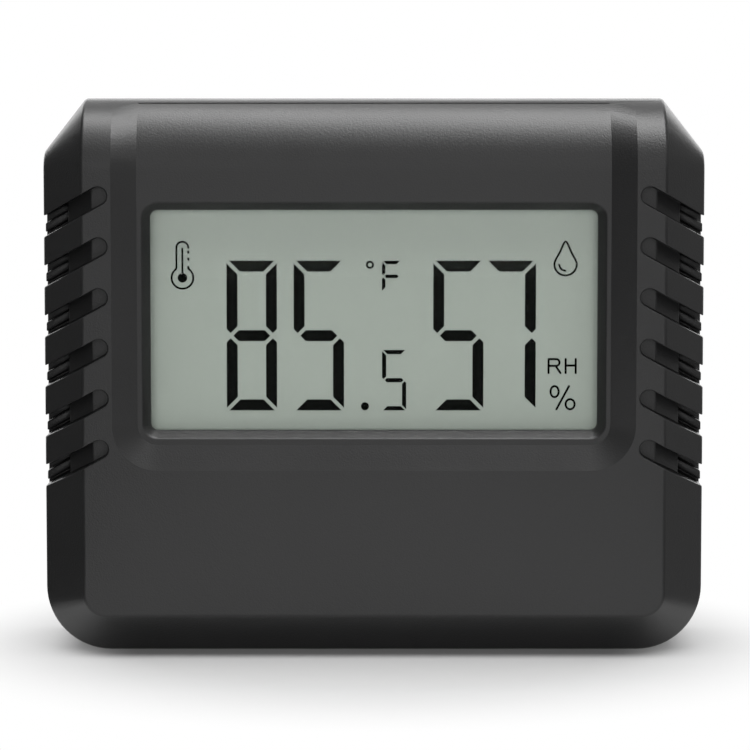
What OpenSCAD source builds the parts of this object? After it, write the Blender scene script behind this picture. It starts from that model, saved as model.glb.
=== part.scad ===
// Desk thermometer and hygrometer with a coin cell.
// The front faces -Y, +Z is up, and the origin is under the middle of the housing.
// Inside the modules, Y is counted from the plane of the front face backwards.

/* [Housing] */
// Width of the housing
body_w = 50; // [48:0.5:60]
// Height of the housing
body_h = 42; // [41:0.5:50]
// Depth of the housing from the front face to the back
body_d = 14.5; // [14.5:0.1:18]
// Depth at which the front and the rear housing meet
parting_d = 8; // [8:0.1:9]
// Wall of the front housing
front_wall = 1.9; // [1.8:0.1:2.2]
// Wall round the rear housing
rear_wall = 1.6; // [1.2:0.1:2]
// Thickness of the back
back_wall = 1.5; // [1.4:0.1:2]
// Radius of the roll between the front face and the top
roll_r = 5.5; // [5:0.1:7]
// Width of the bevel, seen from the front
bevel_w = 3.2; // [2.6:0.1:3.6]
// Depth of the bevel, seen from the side
bevel_d = 4.05; // [3.4:0.05:4.5]
// Outer radius of the two lower corners
corner_r = 4.9; // [4.5:0.1:6]
// Bevel along the edges of the back
back_bevel = 1; // [0.5:0.1:1.4]
// Rounding where the face meets the bevel
face_edge_r = 0.35; // [0.1:0.05:0.6]
// Rounding where the bevel meets the side wall
side_edge_r = 0.8; // [0.2:0.1:1.2]
// Width of the shadow groove at the parting line
groove_w = 0.25; // [0.15:0.05:0.4]
// Depth of the shadow groove at the parting line
groove_d = 0.2; // [0.1:0.05:0.4]

/* [Sunk panel] */
// Flat rim of the panel on both sides of the window
panel_side_rim = 0.355; // [0.2:0.005:1]
// Flat rim of the panel under the window
panel_low_rim = 0.455; // [0.2:0.005:1]
// Width of the sloping border of the panel
panel_ramp = 1.87; // [1.4:0.01:1.9]
// Depth of the panel
panel_d = 0.75; // [0.4:0.05:0.9]
// Radius of the panel's lower corners at the front face
panel_r = 3.4; // [2.5:0.1:4]

/* [Window] */
// Width of the window where its chamfer starts
window_w = 34.75; // [32:0.05:35]
// Height of the window where its chamfer starts
window_h = 17.75; // [15:0.05:18]
// Distance of the window's middle from the top
window_drop = 16.6; // [16:0.1:17]
// Width of the window's chamfer
window_chamfer = 0.6; // [0.3:0.05:0.8]
// Depth of the window's chamfer
window_chamfer_d = 0.8; // [0.4:0.05:0.9]
// Corner radius of the window
window_r = 1.15; // [1:0.05:2]

/* [Vents] */
// Number of vent slots on each side
vent_count = 6; // [3:1:6]
// Distance of the top slot's inner end from the top
vent_drop = 7.25; // [6:0.05:8]
// Distance between slots
vent_pitch = 3.79; // [3:0.01:3.9]
// Width of a slot
vent_w = 1.4; // [1:0.05:1.6]
// Slope of the slots down towards the side
vent_slope = 28.8; // [10:0.1:35]
// Distance of the slots' inner ends from the side
vent_l = 4.4; // [3.5:0.1:4.5]
// Depth of the grooves below the face and the bevel
vent_d = 1.3; // [0.8:0.05:1.4]
// Depth to which the slots cut the side wall
vent_back_d = 6.6; // [6.4:0.1:7.2]
// Width of the bars in the mouths of the slots
slat_w = 0.6; // [0.4:0.05:0.8]
// Depth at which the bars start
slat_d = 5.6; // [5:0.1:6]
// Distance of the bars below the middle of the slots
slat_drop = 0.15; // [0:0.05:0.2]

/* [Display] */
// Thickness of the clear pane
lens_t = 0.8; // [0.5:0.1:0.9]
// Overlap of the pane behind the edge of the window
lens_lap = 1.4; // [1:0.1:1.6]
// Thickness of the adhesive frame
tape_t = 0.1; // [0.05:0.05:0.2]
// Width of the adhesive frame
tape_w = 1; // [0.6:0.1:1]
// Thickness of a polariser film
film_t = 0.2; // [0.1:0.05:0.25]
// Thickness of each display glass
glass_t = 0.55; // [0.4:0.05:0.55]
// Overlap of the display glass behind the edge of the window
glass_lap = 1.5; // [1.2:0.1:1.7]
// Height of the contact ledge under the rear glass
ledge_h = 2.4; // [2:0.1:2.6]
// Wall of the display holder
holder_wall = 1; // [0.8:0.1:1.1]
// Thickness of the rubber connector
zebra_t = 1.8; // [1.2:0.1:2]

/* [Circuit board] */
// Room for the parts between the board and the battery well
part_room = 1.2; // [1.2:0.05:1.4]
// Thickness of the board
board_t = 1; // [0.8:0.1:1]
// Gap between the board and the wall of the front housing
board_gap = 2.3; // [2:0.1:2.6]
// Distance of the board screws from the middle
board_screw_x = 12; // [10:0.1:14]
// Distance of the upper board screws from the top
board_screw_drop = 3.7; // [3.6:0.1:3.9]
// Gap between the lower board bosses and the display holder
board_boss_gap = 0.4; // [0.2:0.1:1.5]

/* [Battery] */
// Diameter of the coin cell
cell_dia = 20; // [20:0.1:20.2]
// Thickness of the coin cell
cell_t = 3.2; // [3:0.1:3.2]
// Height of the middle of the cell above the base
cell_z = 16.5; // [16:0.1:18]
// Thickness of the battery door
door_t = 1.3; // [1.2:0.1:1.4]
// Diameter of the battery door
door_dia = 24.2; // [24.2:0.1:25]
// Turn of the door from locked to released
door_turn = 45; // [30:1:60]
// Width of a bayonet lug, as an angle
lug_span = 26; // [18:1:30]
// Width of the coin slot in the door
coin_slot_w = 2.2; // [1.6:0.1:3]
// Length of the coin slot in the door
coin_slot_l = 15; // [10:0.5:18]
// Depth of the coin slot in the door
coin_slot_d = 0.7; // [0.4:0.1:0.8]

/* [Unit button] */
// Distance of the button from the middle
button_x = 12.5; // [11:0.1:14]
// Distance of the button from the top
button_drop = 9; // [8.5:0.1:9.2]
// Diameter of the button
button_dia = 4.4; // [3.4:0.1:5]
// Travel of the button
button_travel = 0.4; // [0.2:0.05:0.5]
// Distance of the button's face below the back
button_sink = 0.3; // [0.2:0.1:0.6]
// Height of the switch body above the board
switch_h = 2.4; // [2:0.1:3]

/* [Screws] */
// Diameter of the case screws
case_screw_dia = 1.6; // [1.4:0.1:1.8]
// Diameter of the board screws
board_screw_dia = 1.1; // [1:0.1:1.2]
// Diameter of a screw boss of the front housing
boss_dia = 4.2; // [3.8:0.1:4.2]
// Distance of the upper case screws from the side
upper_screw_inset = 6.8; // [6:0.1:8]
// Distance of the upper case screws from the top
upper_screw_drop = 3.4; // [3.2:0.1:3.5]
// Distance of the lower case screws from the side
lower_screw_inset = 4.8; // [4.6:0.1:6]
// Height of the lower case screws above the base
lower_screw_z = 6; // [5:0.1:7]

/* [Fits] */
// Gap beside a part that only has to go in
loose = 0.15; // [0.1:0.05:0.2]
// Gap round a part that turns or slides
running = 0.2; // [0.15:0.05:0.25]
// Gap between parts that lie one over the other
lay = 0.1; // [0.05:0.05:0.15]

/* [Hidden] */
$fn = 64;
// Reach of a cut past the surface that it opens
past = 1;
// Smallest bite of a cut, where two surfaces would only touch
bite = 0.02;
arc_steps = 6;
roll_steps = 24;

half_w = body_w / 2;
roll_z = body_h - roll_r;

window_z = body_h - window_drop;
panel_floor_half = window_w / 2 + panel_side_rim;
panel_half = panel_floor_half + panel_ramp;
panel_z = window_z - window_h / 2 - panel_low_rim - panel_ramp;
// Amount by which the roll of the panel's floor is larger than that of the housing, so that it runs out
panel_run_out = 0.6;
panel_roll_r = roll_r + panel_run_out;
panel_roll_back = panel_d + panel_run_out;
// Angle on the housing's roll, from the face, and height at which the panel's floor has run out
panel_end = acos((panel_roll_r ^ 2 - roll_r ^ 2 - panel_roll_back ^ 2) / (2 * roll_r * panel_roll_back));
panel_end_z = roll_z + roll_r * sin(panel_end);
// Share of its width by which the panel's border goes on outside the face
panel_over = 0.03;

vent_x = half_w - vent_l;
vent_top_z = body_h - vent_drop;
vent_middle_z = vent_top_z - vent_pitch * (vent_count - 1) / 2;

lens_d = front_wall + tape_t;
polariser_d = lens_d + lens_t + lay;
front_glass_d = polariser_d + film_t;
rear_glass_d = front_glass_d + glass_t;
reflector_d = rear_glass_d + glass_t;
holder_d = reflector_d + film_t;
opening_w = window_w - 2 * window_chamfer;
opening_h = window_h - 2 * window_chamfer;
glass_w = opening_w + 2 * glass_lap;
glass_h = opening_h + 2 * glass_lap;
glass_low_z = window_z - glass_h / 2;
glass_high_z = window_z + glass_h / 2;
glass_r = 0.1;
pane_r = 0.8;
film_r = 0.2;
film_inset = 0.5;
film_size = [glass_w, glass_h] - 2 * [film_inset, film_inset];
zebra_w = opening_w;
zebra_z = glass_low_z - ledge_h / 2;

cell_r = cell_dia / 2;
door_seat_d = body_d - door_t;
cell_back_d = door_seat_d - lay;
cell_front_d = cell_back_d - cell_t;
cell_wall = 0.7;
seal_t = 0.6;
cell_seal_r = cell_r - cell_wall;
cell_cap_r = cell_seal_r - seal_t;
cell_rim_r = 0.5;
cell_lip_r = 0.2;
cell_cap_edge_r = 0.4;
cell_step = 0.3;
cell_inner = 0.5;
// Room for the spring under the cell
spring_room = 0.5;
well_floor_d = cell_front_d - spring_room;
well_floor_t = 0.8;
well_wall = 1.3;
well_r = cell_r + 2 * running;
skirt_in_r = cell_r + running + loose;
skirt_t = 0.6;
skirt_h = 1.4;
skirt_r = skirt_in_r + skirt_t;
// Angle by which the door's skirt reaches past each end of a lug
skirt_extra = 4;
lug_h = 0.8;
lug_r = skirt_r + lug_h;
lug_t = 0.75;
lug_d = door_seat_d - skirt_h;
// Angle of free play at each end of a lug
lug_play = 2;
neck_d = lug_d - running;
ledge_d = lug_d + lug_t + running;
lug_starts = [0, 120, 240];
door_r = door_dia / 2;
well_out_r = door_r + running + well_wall;

contact_w = 4;
contact_t = 0.25;
contact_gap = 0.15;
contact_bay = 1.4;
contact_foot_rise = 2;
contact_foot_z = cell_z - cell_r + contact_foot_rise;

board_back_d = well_floor_d - well_floor_t - part_room;
board_d = board_back_d - board_t;
board_half_w = half_w - front_wall - board_gap;
board_low_z = front_wall + board_gap;
board_high_z = body_h - board_gap;
board_r = 1;
peg_r = 0.6;
peg_x = 15;
peg_drop = 3;
holder_pegs = [for (side = [-1, 1]) [side * peg_x, glass_high_z - peg_drop]];
board_boss_dia = boss_dia - 1;
holder_low_z = glass_low_z - ledge_h - loose - holder_wall;
board_screw_z = holder_low_z - board_boss_gap - board_boss_dia / 2;
board_screws_at = [
    for (side = [-1, 1]) each [
        [side * board_screw_x, body_h - board_screw_drop],
        [side * board_screw_x, board_screw_z]
    ]
];
case_screws_at = [
    for (side = [-1, 1]) each [
        [side * (half_w - upper_screw_inset), body_h - upper_screw_drop],
        [side * (half_w - lower_screw_inset), lower_screw_z]
    ]
];
// Length of the rear housing's posts below the heads of the case screws
post_h = 2;
post_wall = 0.8;
head_share = 2;
case_seat_d = parting_d + post_h;
case_head_dia = head_share * case_screw_dia;
case_head_h = 1.1;
case_post_r = case_head_dia / 2 + running + post_wall;
board_head_dia = head_share * board_screw_dia;
board_head_h = 0.8;
thread_gap = 0.05;
case_bite = 3.4;
// Distance of the tips of the board screws from the wall
tip_room = 2.1;
board_bite = board_d - front_wall - tip_room;
boss_skin = 0.3;
// Distance from the surface of the front housing at which its screw bosses are rooted in the wall
boss_root = panel_d + boss_skin;

// Tongue of the rear housing inside the wall of the front housing
tongue_gap = front_wall + running;
tongue_t = 0.9;
tongue_h = 0.8;
inner_corner_r = 0.5;

switch_w = 4.4;
switch_top_d = board_back_d + switch_h;
plunger_r = 1.1;
plunger_h = 0.7;
plunger_bore = 1;
button_d = switch_top_d + plunger_h;
button_r = button_dia / 2;
button_z = body_h - button_drop;
button_flange_h = 0.7;
button_flange_r = button_r + button_flange_h;
button_flange_t = 0.8;
button_guide_d = body_d - 2 * back_wall;

sensor_inset = 3;
sensor_at = [board_half_w - sensor_inset, vent_middle_z];
sensor_size = [4, 5];
sensor_base_t = 0.6;

housing_black = "#303132";
glass_tint = [0.75, 0.82, 0.78, 0.5];
steel = "#b9bcc0";

// Outline with rounded corners: each entry of the path is [x, y, radius of that corner]
function unit(v) = v / norm(v);
function corner_arc(a, b, c, r) =
    let (
        to_a = unit(a - b),
        to_c = unit(c - b),
        half = acos(to_a * to_c) / 2,
        middle = b + unit(to_a + to_c) * r / sin(half),
        from = b + to_a * r / tan(half) - middle,
        to = b + to_c * r / tan(half) - middle,
        start = atan2(from[1], from[0]),
        turn = (atan2(to[1], to[0]) - start + 540) % 360 - 180
    )
    [
        for (i = [0 : arc_steps])
            let (a = start + turn * i / arc_steps)
            middle + r * [cos(a), sin(a)]
    ];
function flat(p) = [p[0], p[1]];
function rounded(path) = [
    for (i = [0 : len(path) - 1])
        let (
            before = path[(i + len(path) - 1) % len(path)],
            here = path[i],
            after = path[(i + 1) % len(path)]
        )
        each here[2] > 0 ? corner_arc(flat(before), flat(here), flat(after), here[2]) : [flat(here)]
];

// Band of one thickness along an open path, as sheet metal is bent
function path_normal(path, i) =
    let (
        before = i == 0 ? undef : unit(path[i] - path[i - 1]),
        after = i == len(path) - 1 ? undef : unit(path[i + 1] - path[i]),
        a = is_undef(before) ? after : before,
        b = is_undef(after) ? before : after,
        along = unit(a + b),
        across = [-along[1], along[0]]
    )
    across / (across * [-a[1], a[0]]);
function band(path, thickness) = concat(
    [for (i = [0 : len(path) - 1]) path[i] + path_normal(path, i) * thickness / 2],
    [for (i = [len(path) - 1 : -1 : 0]) path[i] - path_normal(path, i) * thickness / 2]
);

function reversed(list) = [for (i = [len(list) - 1 : -1 : 0]) list[i]];

// Bevel of a form that lies inside the housing by the given distance all over
function inner_bevel(inset) =
    1 - inset * (bevel_w + bevel_d - norm([bevel_w, bevel_d])) / (bevel_w * bevel_d);

// Stands the pieces in their own frame
module placed() {
    translate([0, -body_d / 2, 0])
    children();
}

// Solid of a flat outline in X and Z, between two depths
module between(front, back) {
    translate([0, back, 0])
    rotate([90, 0, 0])
    linear_extrude(back - front)
    children();
}

// Round bar along the depth
module rod(at, r, front, back) {
    translate([at[0], front, at[1]])
    rotate([-90, 0, 0])
    cylinder(r = r, h = back - front);
}

// Flat plate with rounded corners, upright, between two depths
module plate(size, middle_z, r, front, back) {
    between(front, back)
    polygon(rounded([
        [-size[0] / 2, middle_z - size[1] / 2, r],
        [size[0] / 2, middle_z - size[1] / 2, r],
        [size[0] / 2, middle_z + size[1] / 2, r],
        [-size[0] / 2, middle_z + size[1] / 2, r]
    ]));
}

// Upright tray, open at the top: its edge is a list of [inset, depth] from front to back, and runs
// up both sides, along the bottom and round the two lower corners
module tray(edge, half, r, low_z, high_z) {
    first_d = edge[0][1];
    last_d = edge[len(edge) - 1][1];
    translate([0, 0, low_z + r])
    linear_extrude(high_z - low_z - r)
    polygon(concat(
        [for (p = edge) [half - p[0], p[1]]],
        [for (p = reversed(edge)) [p[0] - half, p[1]]]
    ));
    translate([r - half, 0, low_z])
    rotate([90, 0, 90])
    linear_extrude(2 * (half - r))
    polygon(concat([for (p = edge) [p[1], p[0]]], [[last_d, r], [first_d, r]]));
    for (side = [0, 1])
        mirror([side, 0, 0])
        translate([half - r, 0, low_z + r])
        rotate([-90, 0, 0])
        rotate_extrude(angle = 90)
        polygon(concat([for (p = edge) [r - p[0], p[1]]], [[0, last_d], [0, first_d]]));
}

// Form of the front housing, inside its surface by the given distance all over, back to the given depth
module front_form(inset, back) {
    share = inner_bevel(inset);
    half = half_w - inset;
    r = corner_r - inset;
    roll = roll_r - inset;
    high_z = body_h - inset;
    bevel = [bevel_w, bevel_d] * share;
    is_outer = inset == 0;
    edge_r = is_outer ? face_edge_r : 0;
    side_r = is_outer ? side_edge_r : 0;
    profile = rounded([
        [r, roll, 0],
        [r, 0, 0],
        [bevel[0], 0, edge_r],
        [0, bevel[1], side_r],
        [0, roll, 0]
    ]);
    arch = [for (i = [1 : len(profile) - 2]) profile[i]];
    edge = concat(
        [for (p = arch) [p[0], p[1] + inset]],
        is_outer
            ? [[0, back - groove_w], [groove_d, back - groove_w], [groove_d, back]]
            : [[0, back]]
    );
    section = concat(
        [for (p = arch) [half - p[0], p[1]]],
        [[half, roll], [-half, roll]],
        [for (p = reversed(arch)) [p[0] - half, p[1]]]
    );
    tray(edge, half, r, inset, roll_z);
    translate([0, roll_r, roll_z])
    rotate(180, [1, 0, 1])
    rotate_extrude(angle = 90)
    polygon([for (p = section) [roll - p[1], p[0]]]);
    between(roll_r, is_outer ? back - groove_w : back)
    polygon([for (p = section) [p[0], high_z - p[1]]]);
    if (is_outer)
        between(back - groove_w, back)
        intersection() {
            polygon([for (p = section) [p[0], high_z - p[1]]]);
            translate([0, -groove_d])
            polygon([for (p = section) [p[0] * (1 - groove_d / half), high_z - p[1]]]);
        }
}

// Side view of the rolled top in the panel's border, at a share of the way from its outline to the floor
function roll_profile(share) =
    let (
        r = roll_r + share * panel_run_out,
        middle = roll_r + share * panel_roll_back,
        deep = panel_roll_r + panel_roll_back
    )
    concat(
        [[deep, roll_z - past], [share * panel_d, roll_z - past]],
        [
            for (i = [0 : roll_steps])
                let (a = 90 * i / roll_steps)
                [middle - r * cos(a), roll_z + r * sin(a)]
        ],
        [[deep, roll_z + r]]
    );

// What is sunk into the face round the display: a tray that runs out on the roll
module panel_cut() {
    reach = panel_half + panel_over * panel_ramp;
    tray(
        [[0, -past], [0, 0], [panel_ramp, panel_d]],
        panel_half, panel_r, panel_z, roll_z
    );
    difference() {
        translate([-reach, -past, roll_z - past / 2])
        cube([2 * reach, roll_r + past, panel_end_z - roll_z + past / 2]);
        translate([-panel_floor_half - bite, 0, 0])
        rotate([90, 0, 90])
        linear_extrude(2 * (panel_floor_half + bite))
        polygon(roll_profile(1));
        for (side = [0, 1])
            mirror([side, 0, 0])
            hull() {
                translate([panel_floor_half, 0, 0])
                rotate([90, 0, 90])
                linear_extrude(bite)
                polygon(roll_profile(1));
                translate([reach, 0, 0])
                rotate([90, 0, 90])
                linear_extrude(bite)
                polygon(roll_profile(-panel_over));
            }
    }
}

module window_cut() {
    edge = [
        [0, -past],
        [0, panel_d],
        [window_chamfer, panel_d + window_chamfer_d],
        [window_chamfer, front_wall + past]
    ];
    for (flip = [0, 1])
        translate([0, 0, window_z])
        mirror([0, 0, flip])
        tray(edge, window_w / 2, window_r, -window_h / 2, 0);
}

// Bars that lean down towards the side, one for each vent, on the right
module vent_bars(w, from_x, to_x, round_end) {
    for (i = [0 : vent_count - 1])
        translate([vent_x, vent_top_z - i * vent_pitch])
        rotate(-vent_slope) {
            translate([(from_x - vent_x) / cos(vent_slope), -w / 2])
            square([(to_x - from_x) / cos(vent_slope), w]);
            if (round_end)
                circle(d = w);
        }
}

// Vent slots of the right side: grooves that follow the face and the bevel, and cuts through the
// side wall with a bar left in the mouth of each
module vent_cut() {
    difference() {
        between(-past, vent_back_d)
        vent_bars(vent_w, vent_x, half_w + past, true);
        intersection() {
            front_form(vent_d, parting_d);
            translate([-half_w, 0, 0])
            cube([body_w - front_wall, parting_d, body_h]);
        }
        translate([0, 0, -slat_drop])
        between(slat_d, parting_d)
        vent_bars(slat_w, half_w - front_wall - past, half_w + 2 * past, false);
    }
}

module front_housing() {
    color(housing_black)
    placed() {
        difference() {
            front_form(0, parting_d);
            front_form(front_wall, parting_d + past);
            panel_cut();
            window_cut();
            for (side = [0, 1])
                mirror([side, 0, 0])
                vent_cut();
        }
        difference() {
            intersection() {
                front_form(boss_root, parting_d);
                union() {
                    for (at = case_screws_at)
                        rod(at, boss_dia / 2, 0, parting_d);
                    for (at = board_screws_at)
                        rod(at, board_boss_dia / 2, 0, board_d);
                }
            }
            for (at = case_screws_at)
                rod(at, case_screw_dia / 2 + thread_gap, parting_d - case_bite - loose, parting_d + past);
            for (at = board_screws_at)
                rod(at, board_screw_dia / 2 + thread_gap, board_d - board_bite - loose, board_d + past);
        }
    }
}

// Outline of the rear housing, inside its side wall by the given distance
module rear_outline(inset) {
    share = inner_bevel(inset);
    half = half_w - inset;
    high_z = body_h - inset;
    r = max(corner_r - inset, inner_corner_r);
    polygon(rounded([
        [-half, inset, r],
        [half, inset, r],
        [half, high_z - bevel_d * share, 0],
        [half - bevel_w * share, high_z, 0],
        [bevel_w * share - half, high_z, 0],
        [-half, high_z - bevel_d * share, 0]
    ]));
}

// Form of the rear housing: straight walls with a bevel round the back
module rear_form() {
    bevel_front_d = body_d - back_bevel;
    difference() {
        tray(
            [[0, parting_d], [0, bevel_front_d], [back_bevel, body_d]],
            half_w, corner_r, 0, body_h
        );
        rotate([90, 0, 90])
        linear_extrude(body_w, center = true)
        polygon([
            [bevel_front_d - past, body_h + past],
            [body_d + past, body_h - back_bevel - past],
            [body_d + past, body_h + past]
        ]);
        for (side = [0, 1])
            mirror([side, 0, 0])
            translate([half_w - bevel_w / 2, 0, body_h - bevel_d / 2])
            rotate([0, -atan2(bevel_w, bevel_d), 0])
            linear_extrude(2 * norm([bevel_w, bevel_d]), center = true)
            polygon([
                [0, parting_d - past],
                [0, bevel_front_d],
                [-back_bevel - past, body_d + past],
                [bevel_w, body_d + past],
                [bevel_w, parting_d - past]
            ]);
    }
}

// Sector of a ring round the cell, between two depths
module ring_sector(in_r, out_r, start, span, front, back) {
    translate([0, front, cell_z])
    rotate([-90, 0, 0])
    rotate([0, 0, start])
    rotate_extrude(angle = span)
    translate([in_r, 0])
    square([out_r - in_r, back - front]);
}

module rear_housing() {
    color(housing_black)
    placed()
    difference() {
        union() {
            difference() {
                rear_form();
                between(parting_d - past, body_d - back_wall)
                rear_outline(rear_wall);
            }
            intersection() {
                between(parting_d - tongue_h, parting_d + past)
                difference() {
                    rear_outline(tongue_gap);
                    rear_outline(tongue_gap + tongue_t);
                }
                translate([-half_w, 0, 0])
                cube([body_w, body_d, body_h - corner_r - bevel_d]);
            }
            rod([0, cell_z], well_out_r, well_floor_d - well_floor_t, body_d - back_wall / 2);
            for (at = case_screws_at)
                rod(at, case_post_r, parting_d, body_d - back_wall / 2);
            rod([button_x, button_z], button_r + running + post_wall, button_guide_d, body_d - back_wall / 2);
        }
        for (at = case_screws_at) {
            rod(at, boss_dia / 2 + running, parting_d - tongue_h - past, parting_d);
            rod(at, case_screw_dia / 2 + running, parting_d - past, body_d);
            rod(at, case_head_dia / 2 + running, case_seat_d, body_d + past);
        }
        rod([button_x, button_z], button_r + running, parting_d, body_d + past);
        rod([0, cell_z], well_r, well_floor_d, body_d);
        rod([0, cell_z], skirt_r + running, neck_d, body_d);
        rod([0, cell_z], door_r + running, door_seat_d, body_d + past);
        for (start = lug_starts) {
            ring_sector(
                skirt_r, lug_r + 2 * running, start - lug_span / 2 - lug_play,
                lug_span + door_turn + 3 * lug_play, neck_d, ledge_d
            );
            ring_sector(
                skirt_r, lug_r + running, start + door_turn - lug_span / 2 - lug_play,
                lug_span + 2 * lug_play, lug_d + lug_t / 2, body_d
            );
        }
        contact_slots();
    }
}

// Openings that the battery springs pass through on their way to the board
module contact_slots() {
    translate([-contact_w / 2 - contact_gap, board_back_d, contact_foot_z - contact_t / 2 - contact_gap])
    cube([contact_w + 2 * contact_gap, well_floor_d - board_back_d + past, contact_t + 2 * contact_gap]);
    translate([-contact_w / 2 - contact_gap, board_back_d, cell_z + cell_r])
    cube([contact_w + 2 * contact_gap, neck_d - board_back_d, contact_bay]);
}

module window_lens() {
    color(glass_tint)
    placed()
    plate([opening_w + 2 * lens_lap, opening_h + 2 * lens_lap], window_z, pane_r, lens_d, lens_d + lens_t);
}

module lens_tape() {
    outer = [opening_w, opening_h] + [2, 2] * (lens_lap - loose);
    color("dimgray")
    placed()
    difference() {
        plate(outer, window_z, pane_r, front_wall, lens_d);
        plate(outer - 2 * [tape_w, tape_w], window_z, pane_r / 2, front_wall - past, lens_d + past);
    }
}

module lcd_front_polariser() {
    color("#98a098")
    placed()
    plate(film_size, window_z, film_r, polariser_d, front_glass_d);
}

module lcd_front_glass() {
    color(glass_tint)
    placed()
    translate([-glass_w / 2, front_glass_d, glass_low_z - ledge_h])
    cube([glass_w, glass_t, glass_h + ledge_h]);
}

module lcd_rear_glass() {
    color(glass_tint)
    placed()
    plate([glass_w, glass_h], window_z, glass_r, rear_glass_d, reflector_d);
}

module lcd_reflector() {
    color("#b8bdb6")
    placed()
    plate(film_size, window_z, film_r, reflector_d, holder_d);
}

// Tray that the display lies in: thin walls and a thin floor with windows, a rib above the slot for
// the rubber connector, a rib up the middle, and pegs that find their place in the board
module lcd_holder() {
    floor_t = 0.5;
    web = 2.5;
    pocket = [glass_w, glass_h + ledge_h] + 2 * [loose, loose];
    middle_z = window_z - ledge_h / 2;
    floor_back_d = holder_d + floor_t;
    slot_high_z = zebra_z + zebra_t / 2 + loose;
    light_w = (glass_w - 3 * web) / 2;
    color("#e8e8e2")
    placed() {
        difference() {
            plate(
                pocket + 2 * [holder_wall, holder_wall], middle_z, holder_wall,
                polariser_d + film_t / 2, board_d
            );
            plate(pocket, middle_z, film_r, polariser_d - past, holder_d);
            difference() {
                plate(pocket, middle_z, film_r, floor_back_d, board_d + past);
                translate([-glass_w, holder_d, slot_high_z])
                cube([2 * glass_w, board_d, holder_wall]);
                translate([-holder_wall / 2, holder_d, slot_high_z])
                cube([holder_wall, board_d, 2 * glass_h]);
            }
            translate([-zebra_w / 2 - loose, front_glass_d, zebra_z - zebra_t / 2 - loose])
            cube([zebra_w + 2 * loose, board_d, zebra_t + 2 * loose]);
            for (side = [-1, 1])
                translate([side * (light_w + web) / 2 - light_w / 2, holder_d - past, glass_low_z + web])
                cube([light_w, floor_t + 2 * past, glass_h - 3 * web]);
        }
        for (at = holder_pegs)
            rod(at, peg_r, holder_d + floor_t / 2, board_back_d - lay);
    }
}

module zebra_strip() {
    color("#d9b9a0")
    placed()
    translate([-zebra_w / 2, rear_glass_d, zebra_z - zebra_t / 2])
    cube([zebra_w, board_d - rear_glass_d, zebra_t]);
}

module main_board() {
    notch = max(boss_dia / 2, case_post_r) + 2 * loose;
    color("#1f6b3a")
    placed()
    difference() {
        plate(
            [2 * board_half_w, board_high_z - board_low_z],
            (board_high_z + board_low_z) / 2, board_r, board_d, board_back_d
        );
        for (at = case_screws_at)
            rod(at, notch, board_d - past, board_back_d + past);
        for (at = board_screws_at)
            rod(at, board_screw_dia / 2 + running, board_d - past, board_back_d + past);
        for (at = holder_pegs)
            rod(at, peg_r + loose, board_d - past, board_back_d + past);
    }
}

// Drop of epoxy over the bonded chip
module chip_cover() {
    chip_rise = 3;
    chip_at = [0, cell_z + chip_rise];
    chip_r = 4.5;
    chip_h = 1;
    dome_r = (chip_r * chip_r + chip_h * chip_h) / (2 * chip_h);
    reach = asin(chip_r / dome_r);
    color("#18181a")
    placed()
    translate([chip_at[0], board_back_d, chip_at[1]])
    rotate([-90, 0, 0])
    rotate_extrude()
    polygon(concat(
        [[0, 0]],
        [
            for (i = [arc_steps : -1 : 0])
                let (a = reach * i / arc_steps)
                [dome_r * sin(a), dome_r * cos(a) - dome_r + chip_h]
        ]
    ));
}

module chip_parts() {
    size = [1.6, 0.55, 0.8];
    row_pitch = 2;
    row_z = vent_middle_z + row_pitch;
    column_x = 8;
    stagger = 1.4;
    color("#3a3530")
    placed() {
        for (i = [0 : 4])
            translate([column_x + stagger * (i % 2), board_back_d, row_z - row_pitch * i])
            cube(size);
        for (i = [0 : 3])
            translate([-column_x - size[0], board_back_d, row_z - row_pitch * i])
            cube(size);
    }
}

module clock_crystal() {
    can_r = 1;
    can_l = 6;
    at = [-button_x, button_z];
    wire_r = 0.15;
    wire_l = 1.4;
    color(steel)
    placed() {
        translate([at[0], board_back_d + can_r, at[1]])
        rotate([0, 90, 0])
        cylinder(r = can_r, h = can_l);
        for (side = [-1, 1])
            translate([at[0] - wire_l, board_back_d + can_r, at[1] + side * can_r / 2]) {
                rotate([0, 90, 0])
                cylinder(r = wire_r, h = wire_l + can_r);
                rotate([90, 0, 0])
                translate([0, 0, -wire_r])
                cylinder(r = wire_r, h = can_r + wire_r);
            }
    }
}

// Sensing element of the hygrometer, close to the vents of the right side
module humidity_sensor() {
    pin = [0.5, 0.2, 0.5];
    pin_row = 1.4;
    left_x = sensor_at[0] - sensor_size[0] / 2;
    color("#e9e6dc")
    placed() {
        translate([left_x, board_back_d, sensor_at[1] - sensor_size[1] / 2])
        cube([sensor_size[0], sensor_base_t, sensor_size[1]]);
        for (row = [-1, 1])
            translate([left_x - pin[0], board_back_d, sensor_at[1] + row * pin_row - pin[2] / 2])
            cube(pin);
    }
}

module humidity_sensor_cap() {
    wall = 0.5;
    cap_t = 1.4;
    slots = 3;
    slot_w = 0.6;
    slot_pitch = 1.4;
    slot_start = 0.9;
    front = board_back_d + sensor_base_t;
    low = [sensor_at[0] - sensor_size[0] / 2, front, sensor_at[1] - sensor_size[1] / 2];
    color("#f2f2ee")
    placed()
    difference() {
        translate(low)
        cube([sensor_size[0], cap_t, sensor_size[1]]);
        translate(low + [wall, -past, wall])
        cube([sensor_size[0] - 2 * wall, past + cap_t - wall, sensor_size[1] - 2 * wall]);
        for (i = [0 : slots - 1])
            translate(low + [wall, 0, slot_start + i * slot_pitch])
            cube([sensor_size[0] - 2 * wall, cap_t + past, slot_w]);
    }
}

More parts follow.
